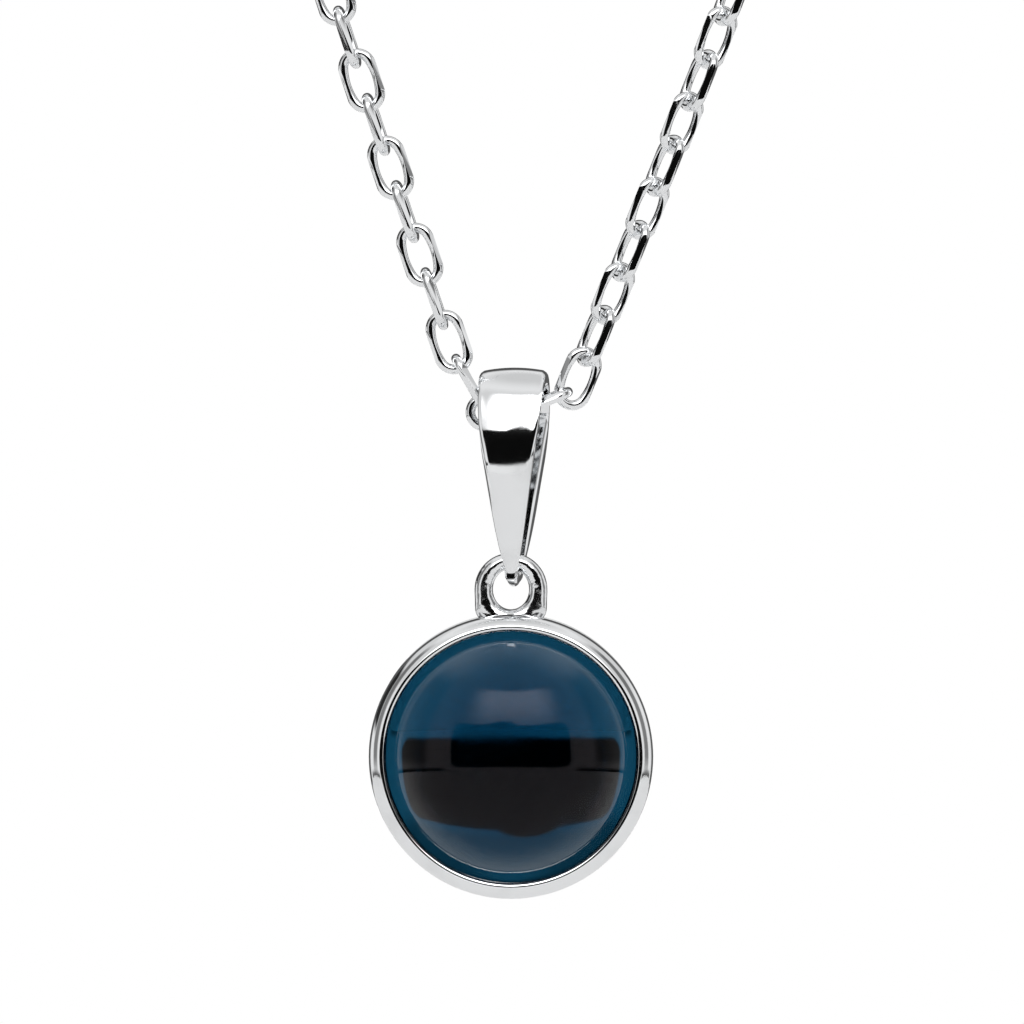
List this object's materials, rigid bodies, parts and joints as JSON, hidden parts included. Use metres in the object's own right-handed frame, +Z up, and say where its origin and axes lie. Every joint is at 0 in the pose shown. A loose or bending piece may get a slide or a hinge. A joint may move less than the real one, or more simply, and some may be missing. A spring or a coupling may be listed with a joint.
{
  "type": "pendant necklace",
  "caption": "Fine cable chain necklace with a lobster clasp and a round blue cabochon pendant on a tapered bail.",
  "frame": {"origin": "midway between the two points at the sides of the neck where the hanging strands meet the part of the chain that lies on the wearer", "axes": "+Z up as worn, the pendant hangs straight down; the stone faces -Y; +X to the right as seen from the front"},
  "size_m": [0.0827, 0.066, 0.1744],
  "materials": {
    "setting_silver": "mirror-polished rhodium-plated silver",
    "bail_silver": "mirror-polished rhodium-plated silver",
    "chain_silver": "polished wire with diamond-cut flats",
    "clasp_silver": "polished",
    "spring_steel": "drawn spring wire",
    "blue_stone": "polished transparent deep teal blue"
  },
  "bodies": {
    "neck": {"neck_left_1": "chain_silver", "neck_left_2": "chain_silver", "neck_left_3": "chain_silver", "neck_left_4": "chain_silver", "neck_right_1": "chain_silver", "neck_right_2": "chain_silver", "neck_right_3": "chain_silver", "neck_right_4": "chain_silver", "catch_ring": "clasp_silver", "clasp_body": "clasp_silver", "clasp_rivet": "clasp_silver", "clasp_spring": "spring_steel", "clasp_ring": "clasp_silver"},
    "front": {"strand_left_1": "chain_silver", "strand_left_2": "chain_silver", "strand_left_3": "chain_silver", "strand_left_4": "chain_silver", "strand_right_1": "chain_silver", "strand_right_2": "chain_silver", "strand_right_3": "chain_silver", "strand_right_4": "chain_silver", "link_bail_left": "chain_silver", "link_bail_right": "chain_silver"},
    "left_1": {"link_left_1": "chain_silver"},
    "left_2": {"link_left_2": "chain_silver"},
    "left_3": {"link_left_3": "chain_silver"},
    "left_4": {"link_left_4": "chain_silver"},
    "left_5": {"link_left_5": "chain_silver"},
    "left_6": {"link_left_6": "chain_silver"},
    "left_7": {"link_left_7": "chain_silver"},
    "left_8": {"link_left_8": "chain_silver"},
    "left_9": {"link_left_9": "chain_silver"},
    "left_10": {"link_left_10": "chain_silver"},
    "right_1": {"link_right_1": "chain_silver"},
    "right_2": {"link_right_2": "chain_silver"},
    "right_3": {"link_right_3": "chain_silver"},
    "right_4": {"link_right_4": "chain_silver"},
    "right_5": {"link_right_5": "chain_silver"},
    "right_6": {"link_right_6": "chain_silver"},
    "right_7": {"link_right_7": "chain_silver"},
    "right_8": {"link_right_8": "chain_silver"},
    "right_9": {"link_right_9": "chain_silver"},
    "right_10": {"link_right_10": "chain_silver"},
    "hanger": {"bail": "bail_silver"},
    "pendant": {"bezel_ring": "setting_silver", "back_plate": "setting_silver", "cabochon": "blue_stone", "eye_loop": "setting_silver"},
    "lever": {"clasp_lever": "clasp_silver"}
  },
  "joints": [
    {"name": "front_swing", "type": "hinge", "parent": "neck", "child": "front", "pos_m": [0, 0, 0], "axis": [1, 0, 0.003], "range_deg": [-50, 50]},
    {"name": "bail_swing", "type": "hinge", "parent": "front", "child": "hanger", "pos_m": [-0.00321, -0.00003, -0.1169], "axis": [0.989, -0.1478, 0], "range_deg": [-60, 60]},
    {"name": "pendant_swing", "type": "hinge", "parent": "hanger", "child": "pendant", "pos_m": [-0.00333, -0.00003, -0.12262], "axis": [1, 0, 0], "range_deg": [-55, 55]},
    {"name": "clasp_lever_turn", "type": "hinge", "parent": "neck", "child": "lever", "pos_m": [0.00019, 0.06097, 0.03559], "axis": [0, 1, 0], "range_deg": [0, 12], "stiffness_Nm_per_rad": 0.002, "springref_deg": -5.73},
    {"name": "left_1_turn", "type": "hinge", "parent": "front", "child": "left_1", "pos_m": [-0.00493, -0.00003, -0.11568], "axis": [-0.4924, 0, 0.8704], "range_deg": [-8, 5]},
    {"name": "left_2_turn", "type": "hinge", "parent": "front", "child": "left_2", "pos_m": [-0.00572, -0.00003, -0.11409], "axis": [-0.3223, 0, 0.9466], "range_deg": [-10, 10]},
    {"name": "left_3_turn", "type": "hinge", "parent": "front", "child": "left_3", "pos_m": [-0.0063, -0.00003, -0.11241], "axis": [-0.3208, 0, 0.9471], "range_deg": [-10, 10]},
    {"name": "left_4_turn", "type": "hinge", "parent": "front", "child": "left_4", "pos_m": [-0.00687, -0.00003, -0.11072], "axis": [-0.3193, 0, 0.9476], "range_deg": [-10, 10]},
    {"name": "left_5_turn", "type": "hinge", "parent": "front", "child": "left_5", "pos_m": [-0.00743, -0.00003, -0.10903], "axis": [-0.3179, 0, 0.9481], "range_deg": [-10, 10]},
    {"name": "left_6_turn", "type": "hinge", "parent": "front", "child": "left_6", "pos_m": [-0.008, -0.00003, -0.10735], "axis": [-0.3165, 0, 0.9486], "range_deg": [-10, 10]},
    {"name": "left_7_turn", "type": "hinge", "parent": "front", "child": "left_7", "pos_m": [-0.00856, -0.00003, -0.10566], "axis": [-0.315, 0, 0.9491], "range_deg": [-10, 10]},
    {"name": "left_8_turn", "type": "hinge", "parent": "front", "child": "left_8", "pos_m": [-0.00912, -0.00003, -0.10397], "axis": [-0.3136, 0, 0.9495], "range_deg": [-10, 10]},
    {"name": "left_9_turn", "type": "hinge", "parent": "front", "child": "left_9", "pos_m": [-0.00968, -0.00003, -0.10228], "axis": [-0.3122, 0, 0.95], "range_deg": [-10, 10]},
    {"name": "left_10_turn", "type": "hinge", "parent": "front", "child": "left_10", "pos_m": [-0.01023, -0.00003, -0.10059], "axis": [-0.3109, 0, 0.9505], "range_deg": [-10, 10]},
    {"name": "right_1_turn", "type": "hinge", "parent": "front", "child": "right_1", "pos_m": [-0.00074, -0.00003, -0.1155], "axis": [0.3827, 0, 0.9239], "range_deg": [-8, 5]},
    {"name": "right_2_turn", "type": "hinge", "parent": "front", "child": "right_2", "pos_m": [-0.00006, -0.00003, -0.11386], "axis": [0.3807, 0, 0.9247], "range_deg": [-10, 10]},
    {"name": "right_3_turn", "type": "hinge", "parent": "front", "child": "right_3", "pos_m": [0.00062, -0.00003, -0.11221], "axis": [0.3787, 0, 0.9255], "range_deg": [-10, 10]},
    {"name": "right_4_turn", "type": "hinge", "parent": "front", "child": "right_4", "pos_m": [0.00129, -0.00003, -0.11056], "axis": [0.3767, 0, 0.9263], "range_deg": [-10, 10]},
    {"name": "right_5_turn", "type": "hinge", "parent": "front", "child": "right_5", "pos_m": [0.00196, -0.00003, -0.10891], "axis": [0.3747, 0, 0.9271], "range_deg": [-10, 10]},
    {"name": "right_6_turn", "type": "hinge", "parent": "front", "child": "right_6", "pos_m": [0.00262, -0.00003, -0.10726], "axis": [0.3728, 0, 0.9279], "range_deg": [-10, 10]},
    {"name": "right_7_turn", "type": "hinge", "parent": "front", "child": "right_7", "pos_m": [0.00328, -0.00003, -0.10561], "axis": [0.3709, 0, 0.9287], "range_deg": [-10, 10]},
    {"name": "right_8_turn", "type": "hinge", "parent": "front", "child": "right_8", "pos_m": [0.00394, -0.00003, -0.10395], "axis": [0.3689, 0, 0.9295], "range_deg": [-10, 10]},
    {"name": "right_9_turn", "type": "hinge", "parent": "front", "child": "right_9", "pos_m": [0.0046, -0.00003, -0.1023], "axis": [0.3671, 0, 0.9302], "range_deg": [-10, 10]},
    {"name": "right_10_turn", "type": "hinge", "parent": "front", "child": "right_10", "pos_m": [0.00525, -0.00003, -0.10064], "axis": [0.3652, 0, 0.9309], "range_deg": [-10, 10]}
  ]
}
